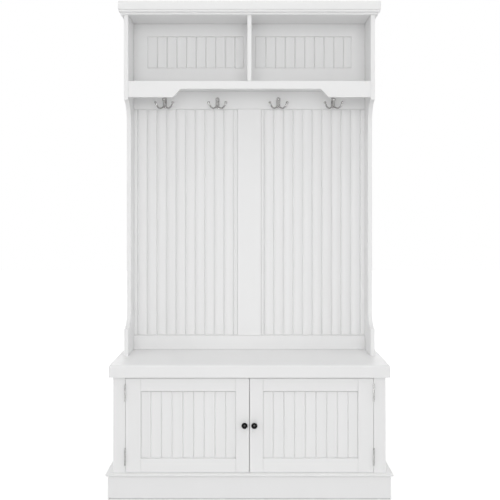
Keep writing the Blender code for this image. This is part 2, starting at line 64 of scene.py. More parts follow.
# Hutch side panels
WAIST_Y = 0.110
LOWER_FLARE_Y = 0.0205
LOWER_COVE = (0.581, 0.646)
UPPER_COVE = (1.362, 1.450)

# Apron
APRON_HIGH = 1.4909
APRON_SLOPE = (0.266, 0.295)
APRON_SHIFT = 0.0054  # the raised middle sits this far to the right
APRON_CORNER = 0.010

# Grooves of a beadboard: first one from the middle, pitch, count, shift of them all to the right, depth
BACK_GROOVES = (0.0609, 0.0382, 11, -0.0021, 0.0042)
CUBBY_GROOVES = (0.0613, 0.03855, 9, 0.0039, 0.0056)
DOOR_GROOVES = (0.0853, 0.0383, 8, 0.0, 0.0046)
GROOVE_HALF = 0.0025
BORDER_HALF = 0.0014  # half the width of the line between a panel and its frame
BORDER_DEPTH = 0.0030
BORDER_SLOPE = 0.0008
GROOVE_FLANK = ((-1.0, 0.0), (-0.80, 0.08), (-0.55, 0.42), (-0.22, 0.92))  # across the half, then down
GROOVE_SHAPE = (*GROOVE_FLANK, (0.0, 1.0), *((-across, down) for across, down in reversed(GROOVE_FLANK)))
CUBBY_FIELD_X = (0.022, 0.405)
CUBBY_FIELD_Z = (1.5944, 1.7223)
CUBBY_BORDERS = (CUBBY_FIELD_X[0] + BORDER_HALF, CUBBY_FIELD_X[1] - BORDER_HALF)
CUBBY_RECESS = 0.003

CROWN_EASE = 0.0018  # rounded arris of the crown board

# Crown moulding, from the bottom up, in (projection, height): the cove's two ends, then corners
CROWN_COVE = ((0.0050, 0.0), (0.0105, 0.0018))
CROWN_FILLET = ((0.0108, 0.0018), (0.0108, 0.0056))
CROWN_QUIRK = ((0.0084, 0.0056), (0.0084, 0.0079))
CROWN_CHAMFER = ((0.0124, 0.0079), (0.0180, 0.0117))
CROWN_FACE = (0.0180, 0.0163)
CROWN_TOP_QUIRK = 0.0170
MOULDING_EASE = 0.0004

# Base board
BASE_THICK = 0.0164
BASE_LIP_BOTTOM = 0.0850
BASE_GROOVE_Z = 0.0051
BASE_GROOVE_HALF = 0.0021
BASE_GROOVE_DEPTH = 0.007
BASE_QUIRK = (0.0012, 0.0055)  # depth and height of the step under the lip

# Boards that only have their arrises rounded
PLAIN_BOARDS = (
    "top_panel",
    "cubby_divider",
    "shelf",
    "hook_rail",
    "back_centre_stile",
    "back_bottom_rail",
    "cabinet_side_left",
    "cabinet_side_right",
    "face_bottom_rail",
    "front_stretcher",
    "cabinet_floor",
    "cabinet_back",
    "centre_partition",
)

# Bench top
BENCH_ROUND = 0.009  # over the front
BENCH_SIDE_ROUND = 0.0045
BENCH_SIDE_STEPS = 5
BENCH_UNDER_ROUND = 0.0004

# Doors: how far their boards and the face stiles are drawn out, for finer gaps than the frame's
STILE_REVEAL = 0.0013
SIDE_REVEAL = 0.0002
MEETING_REVEAL = 0.0003
BOTTOM_REVEAL = 0.0009
DOOR_ARRIS = 0.0007

# Screw heads: (radius, height)
HOOK_SCREW = (0.0026, 0.0012)
LEAF_SCREW = (0.0024, 0.0008)
KNOB_SCREW = (0.0040, 0.0016)
REAR_SCREW = (0.0034, 0.0009)
SCREW_SIDES = 28
SCREW_RIM = 0.35  # the part of a head's height below its dome
RECESS_HALVES = (0.62, 0.12)  # half the length and half the width of a head's cross recess, in radii
RECESS_DEPTH = 0.55  # in heights of the head

# Hook castings, from the middle of the plate's back
HOOK_COUNT = 4
HOOK_PLATE_HALF = (0.0075, 0.022)
HOOK_PLATE_THICK = 0.003
HOOK_PLATE_ROUND = 0.45  # the part of its thickness that its front edge is rounded over
HOOK_PLATE_TURNS = (0, 0.4, 0.8, 1.2, 1.57)  # where that round has its points, in radians
HOOK_SCREW_Z = (0.0165, -0.0192)
HOOK_SCREW_SINK = 0.0002  # into the plate
HOOK_VOXEL = 0.0005
HOOK_STEPS = 8  # along its rods, between two points of a route
HOOK_SIDES = 24  # round its rods
BALL_TURN = math.radians(84)  # where a ball's rounding ends in a flat
ARM_RADII = (0.0037, 0.0030)  # at the plate and at the ball
ARM_BALL = 0.0053
PRONG_RADII = (0.0047, 0.0036)
PRONG_BALL = 0.0077
ARM_ROUTE = (
    (-0.004, -0.0115, -0.0160),
    (0.0, -0.0095, -0.0135),
    (0.008, -0.0135, -0.0195),
    (0.0175, -0.022, -0.0235),
    (0.0270, -0.030, -0.0175),
    (0.0325, -0.034, -0.0055),
)
PRONG_ROUTE = (
    (0.0, -0.001, -0.008),
    (0.0, -0.013, -0.0105),
    (0.0, -0.027, -0.006),
    (0.0, -0.037, 0.004),
)

# Knobs, in (radius, distance from the door): points of the collar and the neck, then the centre and the
# radii of the rim's round and of the dome's
KNOB_FOOT = ((0.0068, 0.0003), (0.0072, 0.0009), (0.0070, 0.0017), (0.0058, 0.0024), (0.0048, 0.0036))
KNOB_NECK = ((0.0044, 0.0052), (0.0044, 0.0072), (0.0048, 0.0090), (0.0060, 0.0106), (0.0080, 0.0120))
KNOB_RIM = ((0.0080, 0.0160), (0.0030, 0.0034))
KNOB_DOME = ((0.0, 0.0176), (0.0106, 0.0043))
KNOB_SIDES = 48

# Hinges, round the pin's axis
HINGE_LENGTH = 0.060
KNUCKLE_RADIUS = 0.00275
KNUCKLE_BORE = 0.0015
KNUCKLE_SIDES = 32
KNUCKLE_EASE = 0.0002
PIN_RADIUS = 0.00125
PIN_HEAD = ((0.0024, 0.0), (0.0024, 0.0005), (0.0021, 0.0010), (0.0015, 0.0014), (0.0006, 0.0016))
LEAF_THICK = 0.0008
LEAF_DEPTH = 0.019
LEAF_EASE = 0.0002
LEAF_HOLE_RADIUS = 0.0026
LEAF_HOLE_SIDES = 24
LEAF_SCREWS = (-0.019, 0.0, 0.019)

# Magnetic catch
CATCH_ROUND = 0.0012
POLE_HALF = (0.016, 0.0006)  # half a pole plate's width and height
POLE_OFFSET = 0.0026  # above and below the middle
POLE_INSET = 0.004  # from the back of the housing
POLE_PROUD = 0.0012  # out of its front
POLE_EASE = 0.0002
STRIKE_EASE = 0.0003

# Screws in the backs: node, how many across, at which parts of its height
REAR_SCREWS = (
    ("cabinet_back", 6, (0.03, 0.97)),
    ("cubby_back", 5, (0.08, 0.92)),
    ("hook_rail", 4, (0.5,)),
    ("back_bottom_rail", 4, (0.5,)),
)
REAR_SCREW_INSET = 0.012
REAR_SCREW_SINK = 0.0005

# Colours
WHITE = (0.88, 0.88, 0.88)
NICKEL = (0.60, 0.595, 0.59)
STEEL = (0.74, 0.735, 0.73)
PLASTIC = (0.72, 0.72, 0.71)
ENAMEL_TONES = ((0.0010, 0.0010, 0.0010), (0.0018, 0.0018, 0.0018))
FLOOR_TONES = ((0.79, 0.79, 0.79), (0.81, 0.81, 0.81))
# How a texture is stretched: its features to the metre along x, y and z are multiplied by these
ALONG_BOARDS = (3.0, 3.0, 0.25)
ALONG_HINGES = (1.0, 1.0, 0.2)
NOISE_RANGE = (0.3, 0.7)  # most of a noise texture's values lie in it

# Studio
FLOOR_GLOW = (0.42, 0.75)  # painted glow in the pale sweep's emission, beside the object and far away, stronger far off where the lamps' light falls away
FLOOR_GLOW_REACH = (1.0, 6.0)
# What lights the object from below and from above, and what polished pieces mirror there
ROOM_LIGHT = {"light": (0.68, 0.59), "mirrored": (0.52, 0.06)}
# Softboxes: name, place, size, power, whether polished pieces mirror it
SOFTBOXES = (
    ("front_softbox", (0.0, -5.6, 1.3), (3.0, 1.6), 33, True),
    ("front_high_softbox", (0.0, -5.0, 2.3), (3.0, 1.6), 36, False),
    ("left_softbox", (-4.4, -1.6, 2.2), (1.6, 2.4), 20, False),
    ("right_softbox", (4.4, -1.6, 2.2), (1.6, 2.4), 20, False),
    ("top_softbox", (0.0, -0.3, 4.6), (4.0, 4.0), 34, False),
    ("rear_softbox", (0.0, 4.6, 2.4), (3.6, 2.4), 60, True),
)
SOFTBOX_TARGET = (0.0, 0.0, 0.95)
# Only polished pieces mirror it, for a highlight: name, place, size, power
CARD = ("low_card", (0.0, -3.4, 0.10), (1.4, 0.5), 24.0)
FLOOR_HALF = 14.0
FLOOR_DROP = 0.0004  # below the object's feet
HORIZON = 0.02  # how softly the light from below turns into the light from above


# Materials


def new_material(name):
    material = bpy.data.materials.new(name)
    material.use_nodes = True
    nodes = material.node_tree.nodes
    return material, nodes, material.node_tree.links, nodes["Principled BSDF"]


def noise(nodes, links, scale, detail=2.0, stretch=(1, 1, 1)):
    """Noise in the object's own coordinates, in features to the metre, stretched along the axes."""
    coordinates = nodes.new("ShaderNodeTexCoord")
    mapping = nodes.new("ShaderNodeMapping")
    mapping.inputs["Scale"].default_value = stretch
    texture = nodes.new("ShaderNodeTexNoise")
    texture.inputs["Scale"].default_value = scale
    texture.inputs["Detail"].default_value = detail
    links.new(coordinates.outputs["Object"], mapping.inputs["Vector"])
    links.new(mapping.outputs["Vector"], texture.inputs["Vector"])
    return texture.outputs["Fac"]


def ranged(nodes, links, value, low, high):
    """A noise value spread over a range."""
    spread = nodes.new("ShaderNodeMapRange")
    spread.inputs["From Min"].default_value = NOISE_RANGE[0]
    spread.inputs["From Max"].default_value = NOISE_RANGE[1]
    spread.inputs["To Min"].default_value = low
    spread.inputs["To Max"].default_value = high
    links.new(value, spread.inputs["Value"])
    return spread.outputs["Result"]


def tinted(nodes, links, value, dark, light):
    """A noise value as a colour between two."""
    ramp = nodes.new("ShaderNodeValToRGB")
    ramp.color_ramp.elements[0].position = NOISE_RANGE[0]
    ramp.color_ramp.elements[0].color = (*dark, 1.0)
    ramp.color_ramp.elements[1].position = NOISE_RANGE[1]
    ramp.color_ramp.elements[1].color = (*light, 1.0)
    links.new(value, ramp.inputs["Fac"])
    return ramp.outputs["Color"]


def bump(nodes, links, height, strength, distance, below=None):
    node = nodes.new("ShaderNodeBump")
    node.inputs["Strength"].default_value = strength
    node.inputs["Distance"].default_value = distance
    links.new(height, node.inputs["Height"])
    if below:
        links.new(below, node.inputs["Normal"])
    return node.outputs["Normal"]


def paint(name, tone, grain=(1, 1, 1)):
    """Satin white paint on smooth board: a faint roller texture, slow changes of tone and of gloss."""
    material, nodes, links, shader = new_material(name)
    slow = noise(nodes, links, 5.0, 3.0, grain)
    dark = tuple(0.985 * c for c in tone)
    links.new(tinted(nodes, links, slow, dark, tone), shader.inputs["Base Color"])
    gloss = ranged(nodes, links, noise(nodes, links, 40.0, 2.0, grain), 0.40, 0.50)
    links.new(gloss, shader.inputs["Roughness"])
    stipple = bump(nodes, links, noise(nodes, links, 420.0, 2.0), 0.10, 0.0002)
    waves = bump(nodes, links, noise(nodes, links, 14.0, 1.0, grain), 0.05, 0.0010, stipple)
    links.new(waves, shader.inputs["Normal"])
    shader.inputs["Specular IOR Level"].default_value = 0.35
    return material


def metal(name, color, rough, brushed=(1, 1, 1)):
    """Plated metal: fine brush marks and uneven sheen."""
    material, nodes, links, shader = new_material(name)
    dark = tuple(0.86 * c for c in color)
    marks = tinted(nodes, links, noise(nodes, links, 260.0, 3.0, brushed), dark, color)
    links.new(marks, shader.inputs["Base Color"])
    sheen = ranged(nodes, links, noise(nodes, links, 900.0, 2.0, brushed), rough * 0.8, rough * 1.3)
    links.new(sheen, shader.inputs["Roughness"])
    scratches = bump(nodes, links, noise(nodes, links, 1800.0, 2.0, brushed), 0.12, 0.00004)
    links.new(scratches, shader.inputs["Normal"])
    shader.inputs["Metallic"].default_value = 1.0
    return material


def black_enamel(name):
    """Black knobs: a dark, slightly uneven satin coat."""
    material, nodes, links, shader = new_material(name)
    color = tinted(nodes, links, noise(nodes, links, 300.0, 3.0), *ENAMEL_TONES)
    links.new(color, shader.inputs["Base Color"])
    links.new(ranged(nodes, links, noise(nodes, links, 700.0, 2.0), 0.13, 0.19), shader.inputs["Roughness"])
    links.new(bump(nodes, links, noise(nodes, links, 1500.0, 2.0), 0.15, 0.00005), shader.inputs["Normal"])
    shader.inputs["Specular IOR Level"].default_value = 0.33
    return material


def moulded_plastic(name, tone):
    """The catch's housing: matt plastic with a fine moulded grain."""
    material, nodes, links, shader = new_material(name)
    cloud = noise(nodes, links, 90.0, 2.0)
    dark = tuple(0.94 * c for c in tone)
    links.new(tinted(nodes, links, cloud, dark, tone), shader.inputs["Base Color"])
    links.new(ranged(nodes, links, noise(nodes, links, 500.0, 2.0), 0.45, 0.60), shader.inputs["Roughness"])
    links.new(bump(nodes, links, noise(nodes, links, 1400.0, 2.0), 0.25, 0.00008), shader.inputs["Normal"])
    return material


MATERIALS = {
    "carcass_paint": paint("painted_board", WHITE),
    "door_paint": paint("painted_door", WHITE),
    "beadboard": paint("painted_beadboard", WHITE, ALONG_BOARDS),
    "hook_nickel": metal("satin_nickel", NICKEL, 0.17),
    "knob_black": black_enamel("black_enamel"),
    "hinge_steel": metal("plated_steel", STEEL, 0.28, ALONG_HINGES),
    "catch_plastic": moulded_plastic("moulded_plastic", PLASTIC),
}


# Meshes


def finished(bm):
    """The mesh of bm, facing out, shaded smooth but for its sharp edges."""
    bmesh.ops.recalc_face_normals(bm, faces=bm.faces)
    mesh = bpy.data.meshes.new("shape")
    bm.to_mesh(mesh)
    bm.free()
    mesh.shade_smooth()
    mesh.set_sharp_from_angle(angle=SHARP_ANGLE)
    return mesh


def loft_into(bm, rings):
    """Walls between matching rings of points, and a face over each end."""
    rings = [[bm.verts.new(point) for point in ring] for ring in rings]
    for first, second in zip(rings, rings[1:]):
        for i, corner in enumerate(first):
            bm.faces.new((corner, first[i - 1], second[i - 1], second[i]))
    bm.faces.new(rings[0])
    bm.faces.new(rings[-1])


def round_arrises(bm, width, segments=3, keep=None):
    """Rounds the edges where two faces meet at an angle, leaving out those that keep rejects."""
    bmesh.ops.recalc_face_normals(bm, faces=bm.faces)
    edges = [e for e in bm.edges if e.is_manifold and e.calc_face_angle(0) > ARRIS_ANGLE]
    edges = [e for e in edges if keep is None or keep(e)]
    bmesh.ops.bevel(
        bm, geom=edges, offset=width, segments=segments, profile=0.5, affect="EDGES", clamp_overlap=True
    )


def board_mesh(low, high, width=ARRIS, segments=3):
    """A board between two corners, with rounded arrises."""
    bm = bmesh.new()
    bmesh.ops.create_cube(bm, size=1.0)
    size = Vector(high) - Vector(low)
    bmesh.ops.transform(bm, matrix=Matrix.Diagonal((*size, 1.0)), verts=bm.verts)
    bmesh.ops.translate(bm, vec=(Vector(high) + Vector(low)) / 2, verts=bm.verts)
    round_arrises(bm, width, segments)
    return finished(bm)


def rod_into(bm, centres, radii, sides):
    """A round rod through the centres, with a radius at each and flat ends."""
    centres = [Vector(centre) for centre in centres]
    rings = []
    side = None
    for i, centre in enumerate(centres):
        forward = (centres[min(i + 1, len(centres) - 1)] - centres[max(i - 1, 0)]).normalized()
        side = side or forward.orthogonal().normalized()
        side = (side - forward * side.dot(forward)).normalized()
        other = forward.cross(side)
        turns = [2 * math.pi * k / sides for k in range(sides)]
        rings.append([centre + radii[i] * (math.cos(t) * side + math.sin(t) * other) for t in turns])
    loft_into(bm, rings)


def turned(profile, sides, direction=(0, 0, 1)):
    """A solid turned about a line through the origin, from a profile in (radius, distance)."""
    bm = bmesh.new()
    rod_into(bm, [Vector(direction) * out for _, out in profile], [radius for radius, _ in profile], sides)
    return finished(bm)


def arc(centre, radii, start, end, steps):
    """Points on an ellipse's arc in a plane, between two angles in degrees."""
    angles = [math.radians(start + (end - start) * k / steps) for k in range(steps + 1)]
    return [(centre[0] + radii[0] * math.cos(a), centre[1] + radii[1] * math.sin(a)) for a in angles]


def smooth_route(route, steps):
    """Points on a smooth curve through a route's points (Catmull-Rom)."""
    knots = [Vector(point) for point in route]
    knots = [2 * knots[0] - knots[1], *knots, 2 * knots[-1] - knots[-2]]
    points = []
    for a, b, c, d in zip(knots, knots[1:], knots[2:], knots[3:]):
        for k in range(steps):
            t = k / steps
            bend = (2 * a - 5 * b + 4 * c - d) * t + (3 * b - a - 3 * c + d) * t * t
            points.append(b + ((c - a) + bend) * t / 2)
    return [*points, knots[-2]]


def ordered(sign, near, far):
    """The low and high x of something from near to far on one side."""
    return tuple(sorted((sign * near, sign * far)))


def evaluated_mesh(obj):
    """A new mesh with the object's modifiers applied. The object is removed."""
    graph = bpy.context.evaluated_depsgraph_get()
    mesh = bpy.data.meshes.new_from_object(obj.evaluated_get(graph))
    bpy.data.objects.remove(obj, do_unlink=True)
    return mesh


def link(name, mesh):
    obj = bpy.data.objects.new(name, mesh)
    bpy.context.scene.collection.objects.link(obj)
    return obj


def cut_out(blank, cutters):
    """The mesh of blank with the cutters' shapes taken out of it. All the objects are removed."""
    for cutter in cutters:
        cut = blank.modifiers.new("cut", "BOOLEAN")
        cut.operation = "DIFFERENCE"
        cut.object = cutter
    mesh = evaluated_mesh(blank)
    for cutter in cutters:
        bpy.data.objects.remove(cutter, do_unlink=True)
    mesh.set_sharp_from_angle(angle=SHARP_ANGLE)
    return mesh


def joined(meshes):
    """One mesh of several closed shapes."""
    bm = bmesh.new()
    for mesh in meshes:
        bm.from_mesh(mesh)
    return finished(bm)


def piece(name, mesh, slot, body="carcass", replaced=(), weighted=True, material=None):
    """A piece that rides on a body and may stand for CAD nodes, in its slot's material or a named one."""
    if not mesh.materials:
        mesh.materials.append(MATERIALS[material or slot])
    obj = link(name, mesh)
    if weighted:
        normals = obj.modifiers.new("even_normals", "WEIGHTED_NORMAL")
        normals.keep_sharp = True
    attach(obj, body)
    if replaced:
        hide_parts(*replaced)
    return obj


# Hutch


def side_outline(rear_y, low_z, high_z, front_y):
    lower_radii = (WAIST_Y - LOWER_FLARE_Y, LOWER_COVE[1] - LOWER_COVE[0])
    upper_radii = (WAIST_Y - front_y, UPPER_COVE[1] - UPPER_COVE[0])
    lower = arc((LOWER_FLARE_Y, LOWER_COVE[1]), lower_radii, -90, 0, 24)
    upper = arc((front_y, UPPER_COVE[0]), upper_radii, 0, 90, 24)
    return [(rear_y, high_z), (rear_y, low_z), (LOWER_FLARE_Y, low_z), *lower, *upper, (front_y, high_z)]


def make_sides():
    for side, _ in SIDES:
        node = f"side_{side}"
        low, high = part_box(node)
        outline = side_outline(high.y, low.z, high.z, low.y)
        bm = bmesh.new()
        loft_into(bm, [[(x, y, z) for y, z in outline] for x in (low.x, high.x)])
        # Only the outline's edges, not those across the board's thickness
        round_arrises(bm, ARRIS, 3, lambda e: abs(e.verts[0].co.x - e.verts[1].co.x) < FIT_GAP)
        piece(f"{node}_shaped", finished(bm), "carcass_paint", replaced=(node,))


def apron_half(low_z):
    """The lower edge of the apron on its right half, from the middle outwards."""
    high_x, low_x = APRON_SLOPE
    slope = math.degrees(math.atan2(APRON_HIGH - low_z, low_x - high_x))
    reach = APRON_CORNER * math.tan(math.radians(slope / 2))
    radii = (APRON_CORNER, APRON_CORNER)
    high = arc((high_x - reach, APRON_HIGH - APRON_CORNER), radii, 90, 90 - slope, 8)
    low = arc((low_x + reach, low_z + APRON_CORNER), radii, 270 - slope, 270, 8)
    return [*high, *low]


def make_apron():
    low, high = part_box("apron")
    half = apron_half(low.z)
    left = [(APRON_SHIFT - x, z) for x, z in reversed(half)]
    right = [(APRON_SHIFT + x, z) for x, z in half]
    ends = [(high.x, low.z), (high.x, high.z), (low.x, high.z), (low.x, low.z)]
    outline = [*left, *right, *ends]
    bm = bmesh.new()
    loft_into(bm, [[(x, y, z) for x, z in outline] for y in (low.y, high.y)])
    round_arrises(bm, ARRIS, 3, lambda e: abs(e.verts[0].co.y - e.verts[1].co.y) < FIT_GAP)
    piece("apron_shaped", finished(bm), "carcass_paint", replaced=("apron",))


def beadboard_front(sign, inner, outer, grooves, borders):
    """Places across a beadboard and how deep it is there, with a fine groove at each border."""
    first, pitch, count, shift, depth = grooves
    cuts = [(first + pitch * k + sign * shift, GROOVE_HALF, depth) for k in range(count)]
    cuts += [(border, BORDER_HALF, BORDER_DEPTH) for border in borders]
    places = [(inner, 0.0)]
    for x, half, deep in sorted(cuts):
        places += [(x + across * half, down * deep) for across, down in GROOVE_SHAPE]
    return [*places, (outer, 0.0)]


def beadboard_mesh(sign, ends, heights, faces, opening, grooves, borders):
    """A beadboard, or the hollow for one, with a sunk line along the top and the bottom of its opening."""
    front, rear = faces
    places = beadboard_front(sign, *ends, grooves, borders)
    low_line, high_line = opening[0] + 2 * BORDER_HALF, opening[1] - 2 * BORDER_HALF
    levels = [(heights[0], BORDER_DEPTH), (low_line, BORDER_DEPTH), (low_line + BORDER_SLOPE, 0.0)]
    levels += [(high_line - BORDER_SLOPE, 0.0), (high_line, BORDER_DEPTH), (heights[1], BORDER_DEPTH)]
    bm = bmesh.new()
    rings = []
    for z, sunk in levels:
        ring = [(sign * x, front + max(down, sunk), z) for x, down in places]
        rings.append([*ring, (sign * ends[1], rear, z), (sign * ends[0], rear, z)])
    loft_into(bm, rings)
    return finished(bm)


def make_beadboard(node, sign, grooves, border_nodes, body, slot):
    """A panel behind its frame. The frame's members are named from below, from above and from the sides."""
    low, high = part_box(node)
    ends = sorted((abs(low.x), abs(high.x)))
    below, above, *beside = border_nodes
    opening = (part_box(below)[1].z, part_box(above)[0].z)
    middle = sum(ends) / 2
    edges = [[abs(corner.x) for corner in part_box(name)] for name in beside]
    borders = [min(pair, key=lambda x: abs(x - middle)) for pair in edges]
    mesh = beadboard_mesh(sign, ends, (low.z, high.z), (low.y, high.y), opening, grooves, borders)
    piece(f"{node}_grooved", mesh, slot, body, (node,), weighted=False, material="beadboard")


def make_beadboards():
    for side, sign in SIDES:
        frame_nodes = ("back_bottom_rail", "hook_rail", "back_centre_stile")
        make_beadboard(f"beadboard_{side}", sign, BACK_GROOVES, frame_nodes, "carcass", "carcass_paint")
        door = f"door_{side}"
        members = ("bottom_rail", "top_rail", "meeting_stile", "hinge_stile")
        frame_nodes = [f"{door}_{member}" for member in members]
        make_beadboard(f"{door}_panel", sign, DOOR_GROOVES, frame_nodes, door, "door_paint")


def make_cubby_back():
    """The board behind the cubbies, with a sunk field of grooves behind each."""
    low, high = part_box("cubby_back")
    board = link("cubby_back_blank", board_mesh(low, high))
    faces = (low.y + CUBBY_RECESS, low.y - CUBBY_RECESS)
    fields = []
    for _, sign in SIDES:
        field = (CUBBY_FIELD_X, CUBBY_FIELD_Z, faces, CUBBY_FIELD_Z)
        fields.append(link("cubby_field", beadboard_mesh(sign, *field, CUBBY_GROOVES, CUBBY_BORDERS)))
    piece(
        "cubby_back_routed",
        cut_out(board, fields),
        "carcass_paint",
        replaced=("cubby_back",),
        weighted=False,
        material="beadboard",
    )


# Mouldings


def wrap(node, profile, half, front_y, rear_y):
    """Front, left and right pieces of a moulding, mitred at the front corners."""
    mitre = FIT_GAP / 4
    shapes = {"front": []}
    for side, sign in SIDES:
        shapes["front"].append([(sign * (half + out - mitre), front_y - out, z) for out, z in profile])
        near = [(sign * (half + out), front_y - out + mitre, z) for out, z in profile]
        far = [(sign * (half + out), rear_y, z) for out, z in profile]
        shapes[side] = [near, far]
    for place, rings in shapes.items():
        bm = bmesh.new()
        loft_into(bm, rings)
        # Only the edges that run along the moulding
        round_arrises(bm, MOULDING_EASE, 2, lambda edge: edge.calc_length() > half / 4)
        name = f"{node}_{place}"
        piece(f"{name}_run", finished(bm), "carcass_paint", replaced=(name,))


def cove(start, end):
    """A hollow quarter round that leaves its start upwards and reaches its end level."""
    radii = (end[0] - start[0], end[1] - start[1])
    return arc((end[0], start[1]), radii, 180, 90, 10)


def crown_profile(bottom, top):
    """A small cove, a fillet, a quirk, a chamfer, a flat face and another quirk."""
    points = [(FIT_GAP, 0.0), *cove(*CROWN_COVE), *CROWN_FILLET, *CROWN_QUIRK, *CROWN_CHAMFER, CROWN_FACE]
    points += [(CROWN_TOP_QUIRK, CROWN_FACE[1]), (CROWN_TOP_QUIRK, top - bottom), (FIT_GAP, top - bottom)]
    return [(out, bottom + height) for out, height in points]


def base_profile(top, lip):
    """A flat board with a shadow groove near the floor and a rounded lip along its top."""
    groove_face = BASE_THICK - BASE_GROOVE_DEPTH
    low, high = BASE_GROOVE_Z - BASE_GROOVE_HALF, BASE_GROOVE_Z + BASE_GROOVE_HALF
    radius = (top - BASE_LIP_BOTTOM) / 2
    quirk_face, quirk_low = BASE_THICK - BASE_QUIRK[0], BASE_LIP_BOTTOM - BASE_QUIRK[1]
    points = [(FIT_GAP, 0.0), (BASE_THICK, 0.0), (BASE_THICK, low), (groove_face, low)]
    points += [(groove_face, high), (BASE_THICK, high), (BASE_THICK, quirk_low)]
    points += [(quirk_face, quirk_low), (quirk_face, BASE_LIP_BOTTOM)]
    points += arc((lip - radius, BASE_LIP_BOTTOM + radius), (radius, radius), -90, 90, 16)
    return [*points, (FIT_GAP, top)]


def make_mouldings():
    side_low, side_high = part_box("side_right")
    low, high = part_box("crown_moulding_front")
    profile = crown_profile(low.z, high.z)
    wrap("crown_moulding", profile, side_high.x, side_low.y, side_high.y)
    face_low, face_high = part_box("face_stile_right")
    low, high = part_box("base_board_front")
    profile = base_profile(high.z, face_low.y - low.y)
    wrap("base_board", profile, face_high.x, face_low.y, side_high.y)


def bench_section(low, high, x, inset):
    """The bench top seen from its end: a wide round over the front, its front and top drawn in by inset."""
    front = low.y + inset
    over = BENCH_ROUND - inset
    under = BENCH_UNDER_ROUND
    outline = arc((low.y + BENCH_ROUND, high.z - BENCH_ROUND), (over, over), 180, 90, 16)
    outline += [(high.y, high.z - inset), (high.y, low.z)]
    outline += arc((front + under, low.z + under), (under, under), 270, 180, 5)
    return [(x, y, z) for y, z in outline]


def make_bench_top():
    low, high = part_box("bench_top")
    low.z -= FIT_GAP  # down onto the cabinet
    turns = [math.radians(90 * k / BENCH_SIDE_STEPS) for k in range(BENCH_SIDE_STEPS + 1)]
    ends = [(BENCH_SIDE_ROUND * (1 - math.cos(t)), BENCH_SIDE_ROUND * (1 - math.sin(t))) for t in turns]
    sections = [bench_section(low, high, low.x + back, inset) for back, inset in ends]
    sections += [bench_section(low, high, high.x - back, inset) for back, inset in reversed(ends)]
    bm = bmesh.new()
    loft_into(bm, sections)
    piece("bench_top_rounded", finished(bm), "carcass_paint", replaced=("bench_top",))


def make_plain_boards():
    for node in PLAIN_BOARDS:
        mesh = board_mesh(*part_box(node))
        piece(f"{node}_eased", mesh, "carcass_paint", replaced=(node,))
    mesh = board_mesh(*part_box("crown_board"), CROWN_EASE, 4)
    piece("crown_board_eased", mesh, "carcass_paint", replaced=("crown_board",))


# Hooks


def rounded_plate_into(bm, half, thick):
    """A plate with round ends and a soft front edge, its back on y = 0."""

    def ring(inset, y):
        straight = half[1] - half[0]
        radius = half[0] - inset
        top = arc((0, straight), (radius, radius), 0, 180, 16)
        bottom = arc((0, -straight), (radius, radius), 180, 360, 16)
        return [(x, y, z) for x, z in top + bottom]

    rounded = HOOK_PLATE_ROUND * thick
    flat = thick - rounded
    edge = [(rounded * (1 - math.cos(turn)), -flat - rounded * math.sin(turn)) for turn in HOOK_PLATE_TURNS]
    loft_into(bm, [ring(0, 0), *[ring(inset, y) for inset, y in edge]])


def ball_end(centres, rod, ball, steps=12):
    """The centres and radii that end a rod in a ball."""
    forward = (centres[-1] - centres[-2]).normalized()
    middle = centres[-1] + forward * math.sqrt(ball * ball - rod * rod)
    start = -math.acos(rod / ball)
    angles = [start + (BALL_TURN - start) * k / steps for k in range(1, steps + 1)]
    return [middle + forward * ball * math.sin(a) for a in angles], [ball * math.cos(a) for a in angles]


def tapered(count, thick, thin):
    return [thick + (thin - thick) * k / (count - 1) for k in range(count)]


def cast_hook_mesh():
    """A plate, an upper prong and two lower arms, fused with soft fillets as in a casting."""
    bm = bmesh.new()
    rounded_plate_into(bm, HOOK_PLATE_HALF, HOOK_PLATE_THICK)
    route = smooth_route(PRONG_ROUTE, HOOK_STEPS)
    end, radii = ball_end(route, PRONG_RADII[1], PRONG_BALL)
    rod_into(bm, route + end, tapered(len(route), *PRONG_RADII) + radii, HOOK_SIDES)
    for sign in (-1, 1):
        route = smooth_route([(sign * x, y, z) for x, y, z in ARM_ROUTE], HOOK_STEPS)
        end, radii = ball_end(route, ARM_RADII[1], ARM_BALL)
        rod_into(bm, route + end, tapered(len(route), *ARM_RADII) + radii, HOOK_SIDES)
    blank = link("hook_blank", finished(bm))
    remesh = blank.modifiers.new("fuse", "REMESH")
    remesh.mode = "VOXEL"
    remesh.voxel_size = HOOK_VOXEL
    soften = blank.modifiers.new("soften", "SMOOTH")
    soften.factor = 0.5
    soften.iterations = 6
    mesh = evaluated_mesh(blank)
    mesh.shade_smooth()
    return mesh


def screw_mesh(radius, height, direction=(0, -1, 0)):
    """A screw's domed head with a cross recess. Its flat back is on the origin."""
    rim = SCREW_RIM * height
    dome = arc((0.0, rim), (radius, height - rim), 0, 80, 4)
    head = link("screw_blank", turned([(radius, 0.0), *dome], SCREW_SIDES, direction))
    long_half, short_half = (part * radius for part in RECESS_HALVES)
    face = Vector(direction) * height
    along = Vector([abs(c) for c in direction]) * height * RECESS_DEPTH
    cutters = []
    for wide, tall in ((long_half, short_half), (short_half, long_half)):
        across = Vector((0, wide, tall)) if direction[0] else Vector((wide, 0, tall))
        recess = board_mesh(face - along - across, face + along + across, short_half / 8, 1)
        cutters.append(link("recess", recess))
    return cut_out(head, cutters)


